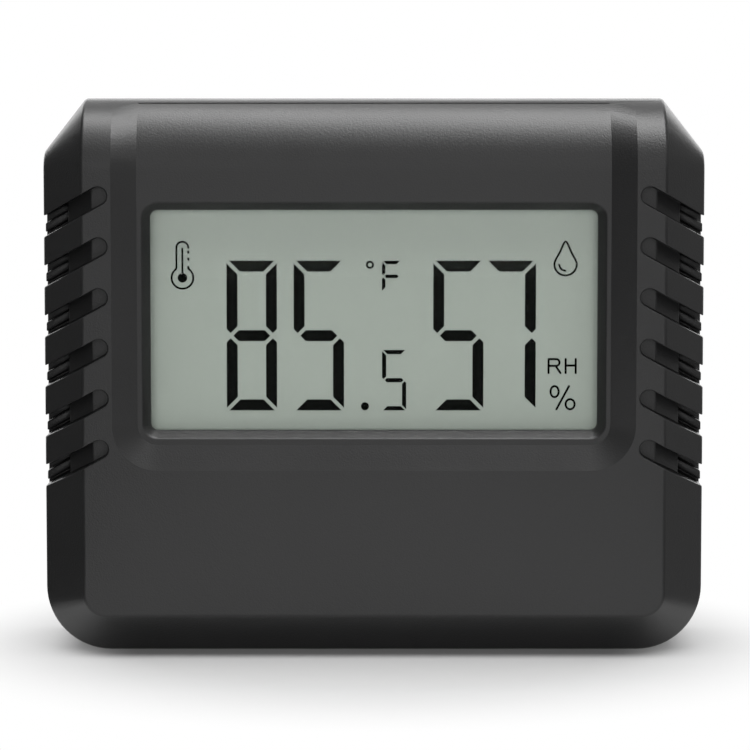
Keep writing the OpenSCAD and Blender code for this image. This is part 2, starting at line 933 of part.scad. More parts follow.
module thermistor() {
    bead_r = 1;
    leg_r = 0.2;
    leg_gap = 1.2;
    leg_l = 3;
    at = [-sensor_at[0], sensor_at[1]];
    rise = 1.2;
    color("#2b2b2d")
    placed() {
        translate([at[0], board_back_d + rise, at[1]])
        sphere(r = bead_r);
        for (side = [-1, 1])
            translate([at[0] + side * leg_gap / 2, 0, 0]) {
                translate([0, board_back_d + rise, at[1] - leg_l])
                cylinder(r = leg_r, h = leg_l);
                rod([0, at[1] - leg_l], leg_r, board_back_d, board_back_d + rise + leg_r);
            }
    }
}

module switch_body() {
    leg = [0.6, 0.25, 0.7];
    leg_row = 1.4;
    color("#2c2c30")
    placed() {
        difference() {
            translate([button_x - switch_w / 2, board_back_d, button_z - switch_w / 2])
            cube([switch_w, switch_h, switch_w]);
            rod([button_x, button_z], plunger_r + loose, switch_top_d - plunger_bore, switch_top_d + past);
        }
        for (x = [-1, 1], z = [-1, 1])
            translate([
                button_x + x * (switch_w + leg[0]) / 2 - leg[0] / 2,
                board_back_d,
                button_z + z * leg_row - leg[2] / 2
            ])
            cube(leg);
    }
}

module switch_plunger() {
    color("#c9c7bf")
    placed()
    rod([button_x, button_z], plunger_r, switch_top_d - plunger_bore + button_travel + lay, button_d);
}

// Button cap: a flange inside the back keeps it from falling out
module unit_button() {
    flange_d = button_guide_d - lay;
    dish_r = 2 * button_dia;
    dish_d = 0.35;
    color("#3b3c3e")
    placed()
    difference() {
        union() {
            rod([button_x, button_z], button_r, button_d, body_d - button_sink);
            rod([button_x, button_z], button_flange_r, flange_d - button_flange_t, flange_d);
        }
        translate([button_x, body_d - button_sink + dish_r - dish_d, button_z])
        sphere(r = dish_r);
    }
}

// Leaf under the cell: its foot stands on the board, and its tongue presses on the cell
module contact_negative() {
    low_d = well_floor_d + contact_t / 2;
    high_d = cell_front_d - contact_t / 2;
    leaf_half = 3;
    tip_l = 2;
    path = [
        [contact_foot_z, board_back_d],
        [contact_foot_z, low_d],
        [cell_z - leaf_half, low_d],
        [cell_z + leaf_half, high_d],
        [cell_z + leaf_half + tip_l, (low_d + high_d) / 2]
    ];
    color(steel)
    placed()
    translate([-contact_w / 2, 0, 0])
    rotate([90, 0, 90])
    linear_extrude(contact_w)
    polygon([for (p = band(path, contact_t)) [p[1], p[0]]]);
}

// Spring beside the cell: it leans on the rim of the can
module contact_positive() {
    stand_off = 1;
    end_gap = 0.3;
    wall_z = cell_z + cell_r + stand_off;
    path = [
        [wall_z, board_back_d],
        [wall_z, well_floor_d],
        [cell_z + cell_r + contact_t / 2, (cell_front_d + neck_d) / 2],
        [wall_z, neck_d - end_gap]
    ];
    color(steel)
    placed()
    translate([-contact_w / 2, 0, 0])
    rotate([90, 0, 90])
    linear_extrude(contact_w)
    polygon([for (p = band(path, contact_t)) [p[1], p[0]]]);
}

// Coin cell: the can is the positive pole, the cap the negative one, and a ring seals the two
module cell_can() {
    color(steel)
    placed()
    translate([0, cell_front_d + cell_step, cell_z])
    rotate([-90, 0, 0])
    rotate_extrude()
    polygon(rounded([
        [0, cell_inner, 0],
        [cell_seal_r, cell_inner, 0],
        [cell_seal_r, 0, 0],
        [cell_r, 0, cell_lip_r],
        [cell_r, cell_t - cell_step, cell_rim_r],
        [0, cell_t - cell_step, 0]
    ]));
}

module cell_seal() {
    color("#d8d2c0")
    placed()
    difference() {
        rod([0, cell_z], cell_seal_r, cell_front_d + cell_step / 2, cell_front_d + cell_step + cell_inner);
        rod([0, cell_z], cell_cap_r, cell_front_d, body_d);
    }
}

module cell_cap() {
    color("#a9adb0")
    placed()
    translate([0, cell_front_d, cell_z])
    rotate([-90, 0, 0])
    rotate_extrude()
    polygon(rounded([
        [0, 0, 0],
        [cell_cap_r, 0, cell_cap_edge_r],
        [cell_cap_r, cell_step + cell_inner, 0],
        [0, cell_step + cell_inner, 0]
    ]));
}

module battery_door() {
    mark_r = 0.6;
    mark_d = 0.3;
    mark_inset = 1.8;
    color(housing_black)
    placed()
    difference() {
        union() {
            rod([0, cell_z], door_r, door_seat_d, body_d);
            for (start = lug_starts) {
                ring_sector(
                    skirt_in_r, skirt_r, start - lug_span / 2 - skirt_extra,
                    lug_span + 2 * skirt_extra, lug_d, door_seat_d + door_t / 4
                );
                ring_sector(
                    skirt_r - skirt_t / 2, lug_r, start - lug_span / 2, lug_span, lug_d, lug_d + lug_t
                );
            }
        }
        translate([0, body_d - coin_slot_d, cell_z])
        rotate([-90, 0, 0])
        linear_extrude(coin_slot_d + past) {
            square([coin_slot_l - coin_slot_w, coin_slot_w], center = true);
            for (side = [-1, 1])
                translate([side * (coin_slot_l - coin_slot_w) / 2, 0])
                circle(d = coin_slot_w);
        }
        rod([0, cell_z + door_r - mark_inset], mark_r, body_d - mark_d, body_d + past);
    }
}

module screw(at, dia, head_dia, head_h, seat, l) {
    cross_w = 0.25 * head_dia;
    cross_l = 0.7 * head_dia;
    cross_d = 0.5 * head_h;
    difference() {
        union() {
            rod(at, dia / 2, seat - l, seat + bite);
            rod(at, head_dia / 2, seat, seat + head_h);
        }
        for (turn = [0, 90])
            translate([at[0], seat + head_h - cross_d, at[1]])
            rotate([0, turn, 0])
            translate([-cross_l / 2, 0, -cross_w / 2])
            cube([cross_l, head_h, cross_w]);
    }
}

module case_screws() {
    color(steel)
    placed()
    for (at = case_screws_at)
        screw(at, case_screw_dia, case_head_dia, case_head_h, case_seat_d, case_seat_d - parting_d + case_bite);
}

module board_screws() {
    color(steel)
    placed()
    for (at = board_screws_at)
        screw(at, board_screw_dia, board_head_dia, board_head_h, board_back_d, board_t + board_bite);
}

front_housing();
rear_housing();
window_lens();
lens_tape();
lcd_front_polariser();
lcd_front_glass();
lcd_rear_glass();
lcd_reflector();
lcd_holder();
zebra_strip();
main_board();
chip_cover();
chip_parts();
clock_crystal();
humidity_sensor();
humidity_sensor_cap();
thermistor();
switch_body();
switch_plunger();
unit_button();
contact_negative();
contact_positive();
cell_can();
cell_seal();
cell_cap();
battery_door();
case_screws();
board_screws();
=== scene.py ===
import math

import bpy
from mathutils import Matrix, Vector
from mathutils.geometry import interpolate_bezier


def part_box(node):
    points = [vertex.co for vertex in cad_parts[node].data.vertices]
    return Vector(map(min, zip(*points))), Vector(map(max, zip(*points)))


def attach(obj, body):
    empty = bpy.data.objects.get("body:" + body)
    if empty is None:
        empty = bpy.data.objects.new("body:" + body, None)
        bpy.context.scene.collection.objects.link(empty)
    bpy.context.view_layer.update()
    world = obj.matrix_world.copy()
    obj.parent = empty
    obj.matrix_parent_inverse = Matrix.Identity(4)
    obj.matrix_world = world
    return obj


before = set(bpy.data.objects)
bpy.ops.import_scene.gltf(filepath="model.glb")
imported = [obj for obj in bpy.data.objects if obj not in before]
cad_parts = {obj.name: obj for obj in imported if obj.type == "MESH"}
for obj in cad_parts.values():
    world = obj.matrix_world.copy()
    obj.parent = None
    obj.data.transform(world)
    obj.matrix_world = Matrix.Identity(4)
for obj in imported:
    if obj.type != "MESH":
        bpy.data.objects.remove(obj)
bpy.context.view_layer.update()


# Front housing: the shell with the display window, the vents and the screw bosses.
# Black ABS, moulded in one shot against a spark-eroded tool, which leaves a fine even grain and
# slightly rounded edges. Four screws from the back hold it to the rear housing.
MM = 0.001
SHELL_EDGE = 0.1 * MM
SHELL_PIT = 0.13 * MM
SHELL_PIT_DEPTH = 0.016 * MM
WELD_REACH = 0.01 * MM
FLAT_WITHIN = 0.4
EDGE_SEGMENTS = 2
LARGE_FACES_FIRST = 80


def soften(piece, width, least_angle=15):
    """Rounds the edges of a piece as its mould or die leaves them, and shades it smoothly.
    Edges that bend by less than the angle, in degrees, stay as they are."""
    weld = piece.modifiers.new("weld", "WELD")
    weld.merge_threshold = WELD_REACH
    flat = piece.modifiers.new("flat_faces", "DECIMATE")
    flat.decimate_type = "DISSOLVE"
    flat.angle_limit = math.radians(FLAT_WITHIN)
    edges = piece.modifiers.new("rounded_edges", "BEVEL")
    edges.limit_method = "ANGLE"
    edges.angle_limit = math.radians(least_angle)
    edges.width = width
    edges.segments = EDGE_SEGMENTS
    edges.use_clamp_overlap = False
    edges.miter_outer = "MITER_ARC"
    shading = piece.modifiers.new("shading", "WEIGHTED_NORMAL")
    shading.weight = LARGE_FACES_FIRST
    shading.keep_sharp = False


def add(tree, kind, inputs=None, **settings):
    """Adds a node to a tree, with the values of its own sockets and settings."""
    node = tree.nodes.new(kind)
    for name, value in settings.items():
        setattr(node, name, value)
    for name, value in (inputs or {}).items():
        node.inputs[name].default_value = value
    return node


def new_group(name, inputs, outputs):
    """Starts a shader node group: returns its tree, its input node and its output node."""
    tree = bpy.data.node_groups.new(name, "ShaderNodeTree")
    kinds = {"value": "NodeSocketFloat", "colour": "NodeSocketColor"}
    for socket, kind in inputs.items():
        tree.interface.new_socket(socket, in_out="INPUT", socket_type=kinds[kind])
    for socket, kind in outputs.items():
        tree.interface.new_socket(socket, in_out="OUTPUT", socket_type=kinds[kind])
    return tree, add(tree, "NodeGroupInput"), add(tree, "NodeGroupOutput")


def make_mottle():
    """Group for the unevenness of a made surface: fine grains, broad patches of tone and gloss."""
    tree, given, result = new_group(
        "mottle",
        {
            "Dark": "colour", "Light": "colour",
            "Smooth": "value", "Rough": "value", "Grain": "value",
        },
        {"Colour": "colour", "Roughness": "value", "Height": "value"},
    )
    place = add(tree, "ShaderNodeTexCoord")
    scale = add(tree, "ShaderNodeMath", {0: 1.0}, operation="DIVIDE")
    grains = add(tree, "ShaderNodeTexNoise", {"Detail": 2.0, "Roughness": 0.6})
    patches = add(tree, "ShaderNodeTexNoise", {"Scale": 90.0, "Detail": 3.0})
    both = add(tree, "ShaderNodeMath", operation="MULTIPLY")
    spread = add(tree, "ShaderNodeMapRange", {"From Min": 0.1, "From Max": 0.4})
    gloss = add(tree, "ShaderNodeMapRange", {"From Min": 0.3, "From Max": 0.7})
    tone = add(tree, "ShaderNodeMixRGB")
    link = tree.links.new
    link(given.outputs["Grain"], scale.inputs[1])
    link(place.outputs["Object"], grains.inputs["Vector"])
    link(scale.outputs[0], grains.inputs["Scale"])
    link(place.outputs["Object"], patches.inputs["Vector"])
    link(grains.outputs["Fac"], both.inputs[0])
    link(patches.outputs["Fac"], both.inputs[1])
    link(both.outputs[0], spread.inputs["Value"])
    link(spread.outputs["Result"], tone.inputs["Fac"])
    link(given.outputs["Dark"], tone.inputs["Color1"])
    link(given.outputs["Light"], tone.inputs["Color2"])
    link(patches.outputs["Fac"], gloss.inputs["Value"])
    link(given.outputs["Smooth"], gloss.inputs["To Min"])
    link(given.outputs["Rough"], gloss.inputs["To Max"])
    link(tone.outputs["Color"], result.inputs["Colour"])
    link(gloss.outputs["Result"], result.inputs["Roughness"])
    link(grains.outputs["Fac"], result.inputs["Height"])
    return tree


mottle = make_mottle()


def finish(name, dark, light, gloss, grain, depth, **sockets):
    """Material of a made surface: its darkest and lightest colour, its range of roughness, the size
    and depth of its grain in metres, and any other sockets of the surface shader."""
    material = bpy.data.materials.new(name)
    material.use_nodes = True
    tree = material.node_tree
    surface = tree.nodes["Principled BSDF"]
    uneven = add(
        tree, "ShaderNodeGroup",
        {
            "Dark": (*dark, 1), "Light": (*light, 1),
            "Smooth": gloss[0], "Rough": gloss[1], "Grain": grain,
        },
        node_tree=mottle,
    )
    bump = add(tree, "ShaderNodeBump", {"Strength": 1.0, "Distance": depth})
    tree.links.new(uneven.outputs["Colour"], surface.inputs["Base Color"])
    tree.links.new(uneven.outputs["Roughness"], surface.inputs["Roughness"])
    tree.links.new(uneven.outputs["Height"], bump.inputs["Height"])
    tree.links.new(bump.outputs["Normal"], surface.inputs["Normal"])
    for socket, value in sockets.items():
        surface.inputs[socket.replace("_", " ")].default_value = value
    return material


def dress(node, material):
    """Gives a CAD node its finish."""
    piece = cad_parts[node]
    piece.data.materials.clear()
    piece.data.materials.append(material)
    return piece


moulded_black = finish(
    "moulded_black_abs", dark=(0.009, 0.009, 0.0092), light=(0.012, 0.012, 0.0122),
    gloss=(0.32, 0.37), grain=SHELL_PIT, depth=SHELL_PIT_DEPTH,
)
front_housing = dress("front_housing", moulded_black)

# The ramp round the sunk panel has crisp edges, also where it runs out on the rolled top and they
# get shallow. Boxes are in distances from the middle of the piece, for both sides at once, and
# bends are in degrees.
RAMP_LEAST = 13
RAMP_MOST = 25
RUN_OUT = (Vector((17.5, 4.0, 39.3)) * MM, Vector((19.9, 7.0, 41.2)) * MM)
RUN_OUT_END = (Vector((18.3, 3.5, 41.2)) * MM, Vector((19.7, 4.6, 41.8)) * MM)
RUN_OUT_LEAST = 5
RUN_OUT_MERGE = 0.3 * MM
# Sockets of the Compare node that take vectors
VECTOR_A, VECTOR_B = 4, 5


def within(tree, box):
    """Field that is true inside a box."""
    place = add(tree, "GeometryNodeInputPosition")
    size = add(tree, "ShaderNodeVectorMath", operation="ABSOLUTE")
    above = add(
        tree, "FunctionNodeCompare", {VECTOR_B: box[0]},
        data_type="VECTOR", mode="ELEMENT", operation="GREATER_THAN",
    )
    below = add(
        tree, "FunctionNodeCompare", {VECTOR_B: box[1]},
        data_type="VECTOR", mode="ELEMENT", operation="LESS_THAN",
    )
    both = add(tree, "FunctionNodeBooleanMath", operation="AND")
    link = tree.links.new
    link(place.outputs["Position"], size.inputs[0])
    link(size.outputs["Vector"], above.inputs[VECTOR_A])
    link(size.outputs["Vector"], below.inputs[VECTOR_A])
    link(above.outputs["Result"], both.inputs[0])
    link(below.outputs["Result"], both.inputs[1])
    return both.outputs[0]


def crisp_ramp(piece):
    """Joins the loose points where the ramp ends and keeps its edges from being smoothed."""
    tree = bpy.data.node_groups.new("crisp_ramp", "GeometryNodeTree")
    tree.interface.new_socket("Geometry", in_out="INPUT", socket_type="NodeSocketGeometry")
    tree.interface.new_socket("Geometry", in_out="OUTPUT", socket_type="NodeSocketGeometry")
    given = add(tree, "NodeGroupInput")
    result = add(tree, "NodeGroupOutput")
    join = add(tree, "GeometryNodeMergeByDistance", {"Distance": RUN_OUT_MERGE})
    smooth = add(tree, "GeometryNodeSetShadeSmooth", {"Shade Smooth": True}, domain="FACE")
    crisp = add(tree, "GeometryNodeSetShadeSmooth", {"Shade Smooth": False}, domain="EDGE")
    angle = add(tree, "GeometryNodeInputMeshEdgeAngle")
    link = tree.links.new

    def test(operation, limit):
        compare = add(
            tree, "FunctionNodeCompare", {1: math.radians(limit)},
            data_type="FLOAT", operation=operation,
        )
        link(angle.outputs["Unsigned Angle"], compare.inputs[0])
        return compare.outputs["Result"]

    def combine(operation, first, second):
        both = add(tree, "FunctionNodeBooleanMath", operation=operation)
        link(first, both.inputs[0])
        link(second, both.inputs[1])
        return both.outputs[0]

    running_out = combine("AND", test("GREATER_THAN", RUN_OUT_LEAST), within(tree, RUN_OUT))
    bent = combine("OR", test("GREATER_THAN", RAMP_LEAST), running_out)
    link(given.outputs[0], join.inputs["Geometry"])
    link(within(tree, RUN_OUT_END), join.inputs["Selection"])
    link(join.outputs[0], smooth.inputs[0])
    link(smooth.outputs[0], crisp.inputs[0])
    link(combine("AND", bent, test("LESS_THAN", RAMP_MOST)), crisp.inputs["Selection"])
    link(crisp.outputs[0], result.inputs[0])
    nodes = piece.modifiers.new("crisp_ramp", "NODES")
    nodes.node_group = tree
    piece.modifiers.move(len(piece.modifiers) - 1, piece.modifiers.find("rounded_edges"))
    piece.modifiers["shading"].keep_sharp = True


soften(front_housing, SHELL_EDGE, least_angle=RAMP_MOST)
crisp_ramp(front_housing)


# Window pane: clear acrylic, laser cut, polished and coated against glare.
# It lies behind the window on a die-cut frame of black adhesive film, which is pressed against the
# inside of the front housing.
TAPE_GRAIN = 0.3 * MM
TAPE_GRAIN_DEPTH = 0.003 * MM
PANE_TINT = (0.98, 0.985, 0.98)
PANE_INDEX = 1.07
PANE_RIPPLE = 0.002 * MM

black_tape = finish(
    "black_tape", dark=(0.012, 0.012, 0.012), light=(0.02, 0.02, 0.02),
    gloss=(0.55, 0.7), grain=TAPE_GRAIN, depth=TAPE_GRAIN_DEPTH,
)
dress("lens_tape", black_tape)


def clear(name, tint, index, ripple):
    """Clear sheet: it doesn't block the light that falls through, and a faint ripple bends its
    shine."""
    material = bpy.data.materials.new(name)
    material.use_nodes = True
    tree = material.node_tree
    surface = tree.nodes["Principled BSDF"]
    surface.inputs["Base Color"].default_value = (*tint, 1)
    surface.inputs["Roughness"].default_value = 0.0
    surface.inputs["IOR"].default_value = index
    surface.inputs["Transmission Weight"].default_value = 1.0
    place = add(tree, "ShaderNodeTexCoord")
    waves = add(tree, "ShaderNodeTexNoise", {"Scale": 150.0, "Detail": 1.0})
    bump = add(tree, "ShaderNodeBump", {"Strength": 1.0, "Distance": ripple})
    see_through = add(tree, "ShaderNodeBsdfTransparent", {"Color": (*tint, 1)})
    ray = add(tree, "ShaderNodeLightPath")
    either = add(tree, "ShaderNodeMath", operation="MAXIMUM")
    mix = add(tree, "ShaderNodeMixShader")
    link = tree.links.new
    link(place.outputs["Object"], waves.inputs["Vector"])
    link(waves.outputs["Fac"], bump.inputs["Height"])
    link(bump.outputs["Normal"], surface.inputs["Normal"])
    link(ray.outputs["Is Shadow Ray"], either.inputs[0])
    link(ray.outputs["Is Diffuse Ray"], either.inputs[1])
    link(either.outputs[0], mix.inputs["Fac"])
    link(surface.outputs["BSDF"], mix.inputs[1])
    link(see_through.outputs["BSDF"], mix.inputs[2])
    link(mix.outputs["Shader"], tree.nodes["Material Output"].inputs["Surface"])
    return material


dress("window_lens", clear("clear_acrylic", PANE_TINT, PANE_INDEX, PANE_RIPPLE))


# Display cell: two sheets of glass with the liquid crystal between them, a polariser on the front
# and a polariser with a reflector on the back. What the cell shows is black on the pale front
# film: figures made of seven bars, plain unit signs and two small pictures.
FILM_GRAIN = 0.4 * MM
FILM_GRAIN_DEPTH = 0.001 * MM
GLASS_TINT = (0.86, 0.9, 0.88)
GLASS_INDEX = 1.52
GLASS_RIPPLE = 0.001 * MM

polariser = finish(
    "polariser_film", dark=(0.305, 0.337, 0.305), light=(0.318, 0.351, 0.318),
    gloss=(0.5, 0.6), grain=FILM_GRAIN, depth=FILM_GRAIN_DEPTH, Specular_IOR_Level=0.05,
)
dress("lcd_front_polariser", polariser)
display_glass = clear("display_glass", GLASS_TINT, GLASS_INDEX, GLASS_RIPPLE)
dress("lcd_front_glass", display_glass)
dress("lcd_rear_glass", display_glass)
reflector = finish(
    "reflector_film", dark=(0.46, 0.48, 0.46), light=(0.54, 0.56, 0.54),
    gloss=(0.35, 0.5), grain=FILM_GRAIN, depth=FILM_GRAIN_DEPTH, Metallic=0.6,
)
dress("lcd_reflector", reflector)

INK_T = 0.03 * MM
FILM_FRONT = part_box("lcd_front_polariser")[0].y
ARC_STEPS = 10


def arc(middle, r, start, end, squash=1.0):
    """Points of an arc, in degrees; squash is the ratio of its height to its width."""
    count = max(2, round(abs(end - start) / 90 * ARC_STEPS))
    turns = [math.radians(start + (end - start) * i / count) for i in range(count + 1)]
    return [
        Vector((middle[0] + r * math.cos(a), middle[1] + r * squash * math.sin(a))) for a in turns
    ]


def ribbon(path, width, closed=False):
    """Stroke of one width along a path: a strip of faces, with round ends where it is open."""
    path = [Vector(p) for p in path]
    count = len(path)
    sides = []
    for i, here in enumerate(path):
        before = path[i - 1] if closed or i else here
        after = path[(i + 1) % count] if closed or i < count - 1 else here
        into = (here - before).normalized() if before != here else (after - here).normalized()
        out = (after - here).normalized() if after != here else into
        along = (into + out).normalized()
        across = Vector((-along.y, along.x))
        reach = width / 2 / max(0.5, across.dot(Vector((-into.y, into.x))))
        sides.append((here + across * reach, here - across * reach))
    pairs = zip(sides, sides[1:] + sides[:1] if closed else sides[1:])
    faces = [[a[0], a[1], b[1], b[0]] for a, b in pairs]
    if not closed:
        for end, inner in ((path[0], path[1]), (path[-1], path[-2])):
            away = end - inner
            turn = math.degrees(math.atan2(away.y, away.x))
            faces.append(arc(end, width / 2, turn - 90, turn + 90))
    return faces


def ink(name, faces):
    """One piece of the display's print: flat faces in millimetres, given their thickness."""
    corners = {}
    outlines = []
    for face in faces:
        outline = [corners.setdefault((round(p[0], 4), round(p[1], 4)), len(corners)) for p in face]
        turn = sum(a[0] * b[1] - b[0] * a[1] for a, b in zip(face, face[1:] + face[:1]))
        outlines.append(outline if turn > 0 else outline[::-1])
    count = len(corners)
    front = [(x * MM, FILM_FRONT - INK_T, z * MM) for x, z in corners]
    back = [(x * MM, FILM_FRONT, z * MM) for x, z in corners]
    edges = [e for outline in outlines for e in zip(outline, outline[1:] + outline[:1])]
    walls = [(b, a, a + count, b + count) for a, b in edges if (b, a) not in edges]
    under = [tuple(i + count for i in reversed(outline)) for outline in outlines]
    mesh = bpy.data.meshes.new(name)
    mesh.from_pydata(front + back, [], outlines + under + walls)
    mesh.validate()
    mesh.materials.append(lit_black)
    piece = bpy.data.objects.new(name, mesh)
    bpy.context.scene.collection.objects.link(piece)
    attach(piece, "case")


lit_black = finish(
    "lit_black", dark=(0.0025, 0.0028, 0.0025), light=(0.0035, 0.004, 0.0035),
    gloss=(0.5, 0.6), grain=FILM_GRAIN, depth=FILM_GRAIN_DEPTH, Specular_IOR_Level=0.0,
)

SEVEN_BARS = {"8": "abcdefg", "5": "acdfg", "7": "abc", "F": "aefg"}
# Share of a bar's width at which the end of an upright bar is pointed
BAR_POINT = 0.37


def figure(sign, x, z, w, h, bar, notch):
    """Bars of one seven-bar figure, with its lower left corner, size, width of bar and notch."""
    mid = h / 2
    tip = BAR_POINT * bar
    upright = [
        (0, h - notch), (bar, h - notch - bar), (bar, mid + notch + bar - tip), (tip, mid + notch),
        (0, mid + notch + tip),
    ]
    level = [(notch, h), (w - notch, h), (w - notch - bar, h - bar), (notch + bar, h - bar)]
    left = tip + notch
    middle = [
        (left, mid), (left + bar / 2, mid + bar / 2), (w - left - bar / 2, mid + bar / 2),
        (w - left, mid), (w - left - bar / 2, mid - bar / 2), (left + bar / 2, mid - bar / 2),
    ]
    bars = {
        "a": level,
        "b": [(w - px, pz) for px, pz in upright],
        "c": [(w - px, h - pz) for px, pz in upright],
        "d": [(px, h - pz) for px, pz in level],
        "e": [(px, h - pz) for px, pz in upright],
        "f": upright,
        "g": middle,
    }
    return [[(x + px, z + pz) for px, pz in bars[name]] for name in SEVEN_BARS[sign]]


# Places on the film are in millimetres: to the right of the middle, and above the foot.
LINE_Z = 18.49
FIGURE_H = 11.32
FIGURE_W = 3.79
FIGURE_BAR = 0.82
FIGURE_NOTCH = 0.2
TENTHS_X = 0.61
TENTHS_W, TENTHS_H, TENTHS_BAR = 1.82, 4.57, 0.31
SMALL_NOTCH = 0.09
POINT_X = -0.685
POINT_R = 0.305
# Where the outline of a dot ends, in degrees: the step back to its first point closes it
DOT_END = 342


def large_figures(signs):
    """Bars of large figures, each given with the place of its left edge."""
    return [
        bar
        for sign, x in signs
        for bar in figure(sign, x, LINE_Z, FIGURE_W, FIGURE_H, FIGURE_BAR, FIGURE_NOTCH)
    ]


temperature = [
    *large_figures((("8", -11.12), ("5", -6.06))),
    *figure("5", TENTHS_X, LINE_Z, TENTHS_W, TENTHS_H, TENTHS_BAR, SMALL_NOTCH),
    arc((POINT_X, LINE_Z + POINT_R), POINT_R, 0, DOT_END),
]
ink("temperature_figures", temperature)
ink("humidity_figures", large_figures((("5", 4.47), ("7", 8.42))))

FIGURE_TOP = LINE_Z + FIGURE_H
DEGREE = (-0.305, FIGURE_TOP - 0.305)
DEGREE_R = 0.23
DEGREE_LINE = 0.15
UNIT_X = 0.6
UNIT_W, UNIT_H, UNIT_BAR = 1.44, 2.35, 0.26
degree = [
    *ribbon(arc(DEGREE, DEGREE_R, 0, DOT_END), DEGREE_LINE, closed=True),
    *figure("F", UNIT_X, FIGURE_TOP - UNIT_H, UNIT_W, UNIT_H, UNIT_BAR, SMALL_NOTCH),
]
ink("degree_sign", degree)

SIGN_LINE = 0.16
LETTER_LOW = 21.24 + SIGN_LINE / 2
LETTER_TOP = 22.45 - SIGN_LINE / 2
R_LEFT, R_BOWL, R_KNEE, R_FOOT = 13.19, 13.76, 13.72, 14.09
BOWL_LOW = 21.86
H_LEFT, H_RIGHT, H_BAR = 14.48, 15.24, 21.885
bowl_r = (LETTER_TOP - BOWL_LOW) / 2
bowl = arc((R_BOWL, LETTER_TOP - bowl_r), bowl_r, 90, -90)
letter_lines = [
    [(R_LEFT, LETTER_LOW), (R_LEFT, LETTER_TOP)],
    [(R_LEFT, LETTER_TOP), *bowl, (R_LEFT, BOWL_LOW)],
    [(R_KNEE, BOWL_LOW), (R_FOOT, LETTER_LOW)],
    [(H_LEFT, LETTER_LOW), (H_LEFT, LETTER_TOP)],
    [(H_RIGHT, LETTER_LOW), (H_RIGHT, LETTER_TOP)],
    [(H_LEFT, H_BAR), (H_RIGHT, H_BAR)],
]
letters = [face for line in letter_lines for face in ribbon(line, SIGN_LINE)]
ink("relative_humidity_sign", letters)

UPPER_RING, UPPER_R, UPPER_SQUASH = (13.655, 19.905), 0.305, 1.36
LOWER_RING, LOWER_R, LOWER_SQUASH = (14.83, 18.95), 0.34, 1.12
RING_END = 350
SLASH = [(13.8, LINE_Z + SIGN_LINE / 2), (14.74, 20.32)]
percent = [
    *ribbon(arc(UPPER_RING, UPPER_R, 0, RING_END, UPPER_SQUASH), SIGN_LINE, closed=True),
    *ribbon(arc(LOWER_RING, LOWER_R, 0, RING_END, LOWER_SQUASH), SIGN_LINE, closed=True),
    *ribbon(SLASH, SIGN_LINE),
]
ink("percent_sign", percent)

ICON_LINE = 0.15
BULB = Vector((-14.44, 28.52))
BULB_R = 0.82
BULB_DOT_R = 0.36
TUBE_HALF = 0.45
TUBE_TOP = 30.79
TUBE_FOOT_RISE = 0.15
DASHES = (29.81, 30.34)
DASH_H = 0.23
bulb_turn = math.degrees(math.acos(TUBE_HALF / BULB_R))
tube_foot = BULB.y + BULB_R * math.sin(math.radians(bulb_turn))
tube_right = BULB.x + TUBE_HALF
outline = [
    *arc((BULB.x, TUBE_TOP), TUBE_HALF, 0, 180),
    *arc(BULB, BULB_R, 180 - bulb_turn, 360 + bulb_turn),
    (tube_right, tube_foot + TUBE_FOOT_RISE),
]
dashes = [
    [
        (tube_right + side * ICON_LINE / 2, low + rise)
        for side, rise in ((-1, 0), (1, 0), (1, DASH_H), (-1, DASH_H))
    ]
    for low in DASHES
]
thermometer = [
    *ribbon(outline, ICON_LINE),
    arc(BULB, BULB_DOT_R, 0, DOT_END),
    *ribbon([BULB, (BULB.x, TUBE_TOP - ICON_LINE / 2)], ICON_LINE),
    *dashes,
]
ink("thermometer_picture", thermometer)

DROP = Vector((14.435, 29.54))
DROP_R = 0.844
DROP_TIP = 1.705
SHINE_R = 0.478
SHINE_TURNS = (184, 268)
BEND = [(0, DROP_TIP), (-0.15, DROP_TIP), (-0.3, 1.13), (-0.513, 0.76)]
FLANK = [BEND[-1], (-0.687, 0.45), (-DROP_R, 0.22), (-DROP_R, 0)]
flank = [
    point.xy
    for handles in (BEND, FLANK)
    for point in interpolate_bezier(*[Vector((*p, 0)) for p in handles], ARC_STEPS)[1:]
]
drop = [
    DROP + Vector((0, DROP_TIP)),
    *[DROP + p for p in flank],
    *arc(DROP, DROP_R, 180, 360)[1:],
    *[DROP + Vector((-p.x, p.y)) for p in reversed(flank[:-1])],
]
drop_faces = [
    *ribbon(drop, ICON_LINE, closed=True),
    *ribbon(arc(DROP, SHINE_R, *SHINE_TURNS), ICON_LINE),
]
ink("drop_picture", drop_faces)


# Display holder and rubber connector: a white moulded tray that carries the glass on the board, and
# a strip of silicone with hundreds of fine conducting layers that joins the glass to the board.
# The strip is squeezed between the two and has no other fixing.
WHITE_GRAIN = 0.2 * MM
WHITE_GRAIN_DEPTH = 0.004 * MM
HOLDER_EDGE = 0.08 * MM
RUBBER_EDGE = 0.1 * MM
LAYER_PITCH = 0.18 * MM
LAYER_COLOUR = (0.015, 0.014, 0.014, 1)
# Radians that the Wave node runs through in a unit of length at scale 1
WAVE_RATE = 20

white_plastic = finish(
    "white_plastic", dark=(0.74, 0.74, 0.71), light=(0.82, 0.82, 0.79),
    gloss=(0.35, 0.5), grain=WHITE_GRAIN, depth=WHITE_GRAIN_DEPTH,
)
soften(dress("lcd_holder", white_plastic), HOLDER_EDGE)


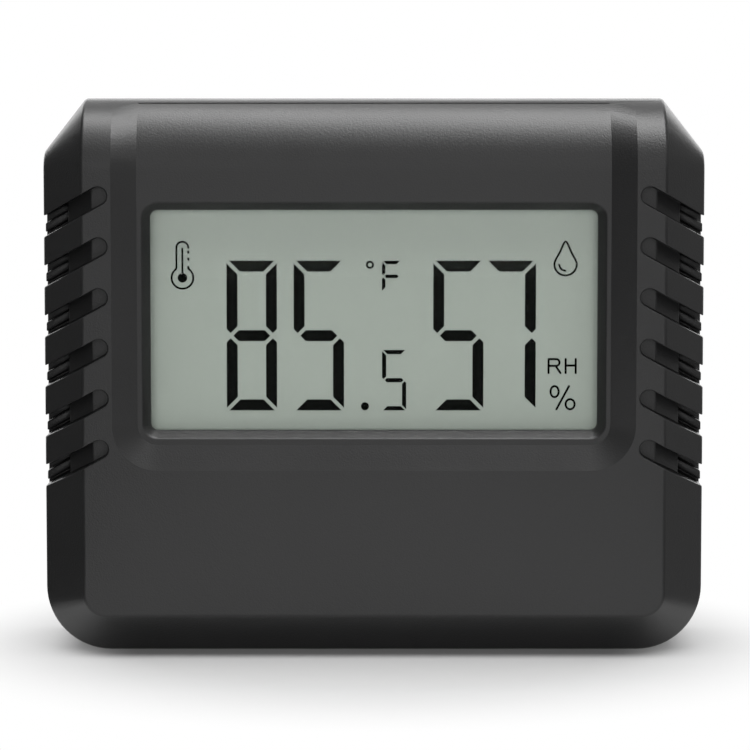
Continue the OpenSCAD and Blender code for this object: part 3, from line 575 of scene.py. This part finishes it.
def striped_rubber():
    """Silicone with dark conducting layers across its length."""
    material = finish(
        "connector_rubber", dark=(0.55, 0.36, 0.28), light=(0.66, 0.46, 0.37),
        gloss=(0.5, 0.65), grain=WHITE_GRAIN, depth=WHITE_GRAIN_DEPTH,
    )
    tree = material.node_tree
    surface = tree.nodes["Principled BSDF"]
    body = surface.inputs["Base Color"].links[0].from_socket
    place = add(tree, "ShaderNodeTexCoord")
    layers = add(tree, "ShaderNodeTexWave", {"Scale": 2 * math.pi / (WAVE_RATE * LAYER_PITCH)})
    cut = add(tree, "ShaderNodeMapRange", {"From Min": 0.45, "From Max": 0.55})
    stripe = add(tree, "ShaderNodeMixRGB", {"Color2": LAYER_COLOUR})
    link = tree.links.new
    link(place.outputs["Object"], layers.inputs["Vector"])
    link(layers.outputs["Fac"], cut.inputs["Value"])
    link(cut.outputs["Result"], stripe.inputs["Fac"])
    link(body, stripe.inputs["Color1"])
    link(stripe.outputs["Color"], surface.inputs["Base Color"])
    return material


soften(dress("zebra_strip", striped_rubber()), RUBBER_EDGE)


# Circuit board: glass-fibre laminate under green solder mask, with its copper tracks showing as
# lighter lines. The parts on it are soldered or bonded, and four small screws hold it to the bosses
# of the front housing.
TRACK_GRID = 1.3 * MM
MASK_GRAIN = 0.25 * MM
MASK_GRAIN_DEPTH = 0.002 * MM
TRACK_COLOUR = (0.04, 0.2, 0.08, 1)
CHIP_EDGE = 0.05 * MM
CAN_EDGE = 0.06 * MM
SCREW_EDGE = 0.05 * MM


def solder_mask():
    """Green lacquer over a grid of copper tracks."""
    material = finish(
        "board_laminate", dark=(0.012, 0.085, 0.034), light=(0.018, 0.11, 0.045),
        gloss=(0.22, 0.32), grain=MASK_GRAIN, depth=MASK_GRAIN_DEPTH,
    )
    tree = material.node_tree
    surface = tree.nodes["Principled BSDF"]
    mask = surface.inputs["Base Color"].links[0].from_socket
    place = add(tree, "ShaderNodeTexCoord")
    turn = add(tree, "ShaderNodeMapping", {"Rotation": (math.pi / 2, 0, 0)})
    tracks = add(
        tree, "ShaderNodeTexBrick",
        {
            "Scale": 1 / TRACK_GRID, "Mortar Size": 0.12, "Mortar Smooth": 0.1,
            "Color1": (0, 0, 0, 1), "Color2": (0, 0, 0, 1), "Mortar": (1, 1, 1, 1),
            "Brick Width": 3.0, "Row Height": 0.6,
        },
    )
    shade = add(tree, "ShaderNodeMixRGB", {"Color2": TRACK_COLOUR})
    link = tree.links.new
    link(place.outputs["Object"], turn.inputs["Vector"])
    link(turn.outputs["Vector"], tracks.inputs["Vector"])
    link(tracks.outputs["Color"], shade.inputs["Fac"])
    link(mask, shade.inputs["Color1"])
    link(shade.outputs["Color"], surface.inputs["Base Color"])
    return material


soften(dress("main_board", solder_mask()), CHIP_EDGE)
black_epoxy = finish(
    "black_epoxy", dark=(0.012, 0.012, 0.013), light=(0.02, 0.02, 0.021),
    gloss=(0.18, 0.3), grain=0.6 * MM, depth=0.004 * MM,
)
soften(dress("chip_cover", black_epoxy), CHIP_EDGE)
soften(dress("thermistor", black_epoxy), CHIP_EDGE)
chip_ceramic = finish(
    "chip_ceramic", dark=(0.42, 0.38, 0.32), light=(0.56, 0.52, 0.46),
    gloss=(0.45, 0.6), grain=0.1 * MM, depth=0.004 * MM,
)
soften(dress("chip_parts", chip_ceramic), CHIP_EDGE)
soften(dress("humidity_sensor", chip_ceramic), CHIP_EDGE)
soften(dress("humidity_sensor_cap", white_plastic), CAN_EDGE)
nickel_steel = finish(
    "nickel_steel", dark=(0.62, 0.61, 0.58), light=(0.72, 0.71, 0.68),
    gloss=(0.18, 0.3), grain=0.12 * MM, depth=0.001 * MM, Metallic=1.0,
)
soften(dress("clock_crystal", nickel_steel), CAN_EDGE)
screw_steel = finish(
    "screw_steel", dark=(0.45, 0.45, 0.44), light=(0.58, 0.58, 0.57),
    gloss=(0.28, 0.42), grain=0.1 * MM, depth=0.002 * MM, Metallic=1.0,
)
soften(dress("board_screws", screw_steel), SCREW_EDGE)


# Tact switch: a small black box soldered to the board behind the unit button, with a white plunger
# that the button presses. The plunger travels with the button.
SWITCH_EDGE = 0.08 * MM

satin_black = finish(
    "satin_black", dark=(0.02, 0.02, 0.02), light=(0.03, 0.03, 0.03),
    gloss=(0.34, 0.44), grain=0.3 * MM, depth=0.004 * MM,
)
soften(dress("switch_body", satin_black), SWITCH_EDGE)
soften(dress("switch_plunger", white_plastic), SWITCH_EDGE)


# Battery springs and coin cell: two strips of nickel-plated spring steel on the board reach through
# the floor of the battery well. The cell is a pressed steel can and cap with a plastic seal between
# them, and lies loose in the well.
SPRING_EDGE = 0.04 * MM
CELL_EDGE = 0.05 * MM

for spring in ("contact_negative", "contact_positive"):
    soften(dress(spring, nickel_steel), SPRING_EDGE)
soften(dress("cell_can", nickel_steel), CELL_EDGE)
soften(dress("cell_cap", nickel_steel), CELL_EDGE)
soften(dress("cell_seal", white_plastic), CELL_EDGE)


# Rear housing, with its screws: the back half of the shell, of the same moulded plastic. It holds
# the battery well and the guide of the button. The four screws sit deep in its pockets and turn
# into the bosses of the front housing.
soften(dress("rear_housing", moulded_black), SHELL_EDGE)
soften(dress("case_screws", screw_steel), SCREW_EDGE)


# Unit button: a dished cap of satin black plastic in the back, kept in by a flange.
# Behind it is the tact switch, so a press moves it by a fraction of a millimetre.
BUTTON_EDGE = 0.06 * MM

soften(dress("unit_button", satin_black), BUTTON_EDGE, least_angle=25)


# Battery door: a round lid of the same plastic as the shell, with a slot for a coin.
# Three bayonet lugs under its edge hold it until it is turned.
DOOR_EDGE = 0.12 * MM

soften(dress("battery_door", moulded_black), DOOR_EDGE)


# Floor: a wide sheet of matt pale paper that the object stands on and throws its shadow on.
# Close round the object it fades into the plain white of the backdrop.
FLOOR_HALF = 3.0
PAPER_DARK = (0.66, 0.66, 0.66, 1)
PAPER_LIGHT = (0.68, 0.68, 0.68, 1)
SHADOW_NEAR = 0.018
SHADOW_FAR = 0.036


def see_white(tree):
    """Mask that is 1 where the surround is looked at, directly, in a gloss or through glass."""
    ray = add(tree, "ShaderNodeLightPath")
    mirrored = add(tree, "ShaderNodeMath", operation="MAXIMUM")
    looked_at = add(tree, "ShaderNodeMath", operation="MAXIMUM")
    tree.links.new(ray.outputs["Is Glossy Ray"], mirrored.inputs[0])
    tree.links.new(ray.outputs["Is Transmission Ray"], mirrored.inputs[1])
    tree.links.new(ray.outputs["Is Camera Ray"], looked_at.inputs[0])
    tree.links.new(mirrored.outputs[0], looked_at.inputs[1])
    return looked_at.outputs[0]


def pale_sheet():
    """Matt pale paper that fades to plain white away from the object."""
    material = bpy.data.materials.new("pale_sheet")
    material.use_nodes = True
    tree = material.node_tree
    tree.nodes.remove(tree.nodes["Principled BSDF"])
    place = add(tree, "ShaderNodeTexCoord")
    distance = add(tree, "ShaderNodeVectorMath", operation="LENGTH")
    away = add(
        tree, "ShaderNodeMapRange",
        {"From Min": SHADOW_NEAR, "From Max": SHADOW_FAR}, interpolation_type="SMOOTHSTEP",
    )
    fibres = add(tree, "ShaderNodeTexNoise", {"Scale": 400.0, "Detail": 3.0})
    tone = add(tree, "ShaderNodeMixRGB", {"Color1": PAPER_DARK, "Color2": PAPER_LIGHT})
    white = add(tree, "ShaderNodeMath", operation="MULTIPLY")
    paper = add(tree, "ShaderNodeBsdfDiffuse")
    glow = add(tree, "ShaderNodeEmission", {"Color": (1, 1, 1, 1), "Strength": 1.0})
    mix = add(tree, "ShaderNodeMixShader")
    link = tree.links.new
    link(place.outputs["Object"], distance.inputs[0])
    link(distance.outputs["Value"], away.inputs["Value"])
    link(away.outputs["Result"], white.inputs[0])
    link(see_white(tree), white.inputs[1])
    link(place.outputs["Object"], fibres.inputs["Vector"])
    link(fibres.outputs["Fac"], tone.inputs["Fac"])
    link(tone.outputs["Color"], paper.inputs["Color"])
    link(white.outputs[0], mix.inputs["Fac"])
    link(paper.outputs["BSDF"], mix.inputs[1])
    link(glow.outputs["Emission"], mix.inputs[2])
    link(mix.outputs["Shader"], tree.nodes["Material Output"].inputs["Surface"])
    return material


def stage_sheet(name, corners, faces, material):
    """Flat sheet of the set, which isn't part of the object."""
    mesh = bpy.data.meshes.new(name)
    mesh.from_pydata(corners, [], faces)
    mesh.materials.append(material)
    sheet = bpy.data.objects.new(name, mesh)
    bpy.context.scene.collection.objects.link(sheet)
    return sheet


floor_corners = [
    (-FLOOR_HALF, -FLOOR_HALF, 0), (FLOOR_HALF, -FLOOR_HALF, 0),
    (FLOOR_HALF, FLOOR_HALF, 0), (-FLOOR_HALF, FLOOR_HALF, 0),
]
stage_sheet("floor", floor_corners, [(0, 1, 2, 3)], pale_sheet())


# Backdrop: the room round the set. It is plain white where it is looked at, directly, in a gloss or
# through glass, and an even dim light for matt surfaces.
ROOM = 0.12

world = bpy.data.worlds.new("backdrop")
world.use_nodes = True
surround = world.node_tree
room = surround.nodes["Background"]
room.inputs["Color"].default_value = (1, 1, 1, 1)
room.inputs["Strength"].default_value = ROOM
white = add(surround, "ShaderNodeBackground", {"Color": (1, 1, 1, 1), "Strength": 1.0})
choose = add(surround, "ShaderNodeMixShader")
surround.links.new(see_white(surround), choose.inputs["Fac"])
surround.links.new(room.outputs["Background"], choose.inputs[1])
surround.links.new(white.outputs["Background"], choose.inputs[2])
surround.links.new(choose.outputs["Shader"], surround.nodes["World Output"].inputs["Surface"])
bpy.context.scene.world = world


# Cards: plain cards out of the camera's sight, for the glossy shell to reflect. A dark one on the
# left and a grey one on the right lie beside the object and then stand up, a pale one stands over
# the camera, and a bright tapered panel overhead draws the band along the rolled top.
CARD_NEAR = 0.03
CARD_X = 0.14
CARD_FRONT = -0.4
CARD_BACK = 0.15
CARD_TOP = 0.3
CARD_Z = 0.0003
LEFT_SHADE = 0.085
RIGHT_SHADE = 0.275
OVER_CAMERA_Y = -0.38
OVER_CAMERA_Z = (0.19, 0.42)
OVER_CAMERA_HALF = 0.4
OVER_CAMERA_SHADE = 0.6
TOP_PANEL = [(-0.16, 0.052), (0.199, -0.36), (0.435, -0.079), (-0.128, 0.09)]
TOP_PANEL_Z = 0.34
TOP_PANEL_GLOW = 7.8


def card(name, shade, corners, faces):
    """Card of an even shade, which shows only as a reflection."""
    material = bpy.data.materials.new(name)
    material.use_nodes = True
    tree = material.node_tree
    tree.nodes.remove(tree.nodes["Principled BSDF"])
    even = add(tree, "ShaderNodeEmission", {"Color": (1, 1, 1, 1), "Strength": shade})
    tree.links.new(even.outputs["Emission"], tree.nodes["Material Output"].inputs["Surface"])
    sheet = stage_sheet(name, corners, faces, material)
    sheet.visible_camera = False
    sheet.visible_diffuse = False
    sheet.visible_shadow = False


for name, side, shade in (("left_card", -1, LEFT_SHADE), ("right_card", 1, RIGHT_SHADE)):
    corners = [
        (side * x, y, z)
        for x, z in ((CARD_NEAR, CARD_Z), (CARD_X, CARD_Z), (CARD_X, CARD_TOP))
        for y in (CARD_FRONT, CARD_BACK)
    ]
    card(name, shade, corners, [(0, 2, 3, 1), (2, 4, 5, 3)])
over_camera = [
    (x, OVER_CAMERA_Y, z) for z in OVER_CAMERA_Z for x in (-OVER_CAMERA_HALF, OVER_CAMERA_HALF)
]
card("camera_card", OVER_CAMERA_SHADE, over_camera, [(0, 1, 3, 2)])
overhead = [(x, y, TOP_PANEL_Z) for x, y in TOP_PANEL]
card("top_panel", TOP_PANEL_GLOW, overhead, [(0, 1, 2, 3)])


# Lamps: a low strip at the back draws the line along the edge of the rolled top. A wide light
# overhead and one behind the camera light the matt surfaces: the floor and the display.
def softbox(name, place, aim, size, power):
    """Rectangular area light that faces a point."""
    lamp = bpy.data.lights.new(name, "AREA")
    lamp.shape = "RECTANGLE"
    lamp.size = size[0]
    lamp.size_y = size[1]
    lamp.energy = power
    holder = bpy.data.objects.new(name, lamp)
    holder.location = place
    holder.rotation_mode = "QUATERNION"
    holder.rotation_quaternion = (Vector(aim) - Vector(place)).to_track_quat("-Z", "Y")
    holder.visible_camera = False
    bpy.context.scene.collection.objects.link(holder)
    return holder


rim = softbox(
    "rim_light", place=(0.0, 0.5, 0.2), aim=(0.0, 0.0, 0.04), size=(1.0, 0.2), power=0.95,
)
rim.visible_diffuse = False
wide = softbox(
    "overhead_light", place=(0.0, -0.07, 0.5), aim=(0.0, -0.07, 0.0), size=(0.8, 0.5), power=3.6,
)
wide.visible_glossy = False
fill = softbox(
    "fill_light", place=(0.0, -0.5, 0.06), aim=(0.0, 0.0, 0.02), size=(0.4, 0.2), power=1.9,
)
fill.visible_glossy = False


# Camera: square on to the front and five degrees above it, from about a quarter of a metre.
# Its focal length is given in pixels of the square picture.
PHOTO_SIDE = 750
FOCAL_PIXELS = 3213.0
SENSOR = 36.0
DISTANCE = 0.24
RISE = math.radians(5.0035)
TARGET = Vector((0.075, -7.25, 21.415)) * MM

lens = bpy.data.cameras.new("camera")
lens.sensor_width = SENSOR
lens.lens = SENSOR * FOCAL_PIXELS / PHOTO_SIDE
camera = bpy.data.objects.new("camera", lens)
away = Vector((0, -math.cos(RISE), math.sin(RISE)))
camera.location = TARGET + away * DISTANCE
camera.rotation_mode = "QUATERNION"
camera.rotation_quaternion = (-away).to_track_quat("-Z", "Y")
bpy.context.scene.collection.objects.link(camera)
bpy.context.scene.camera = camera
bpy.context.scene.view_settings.view_transform = "Standard"
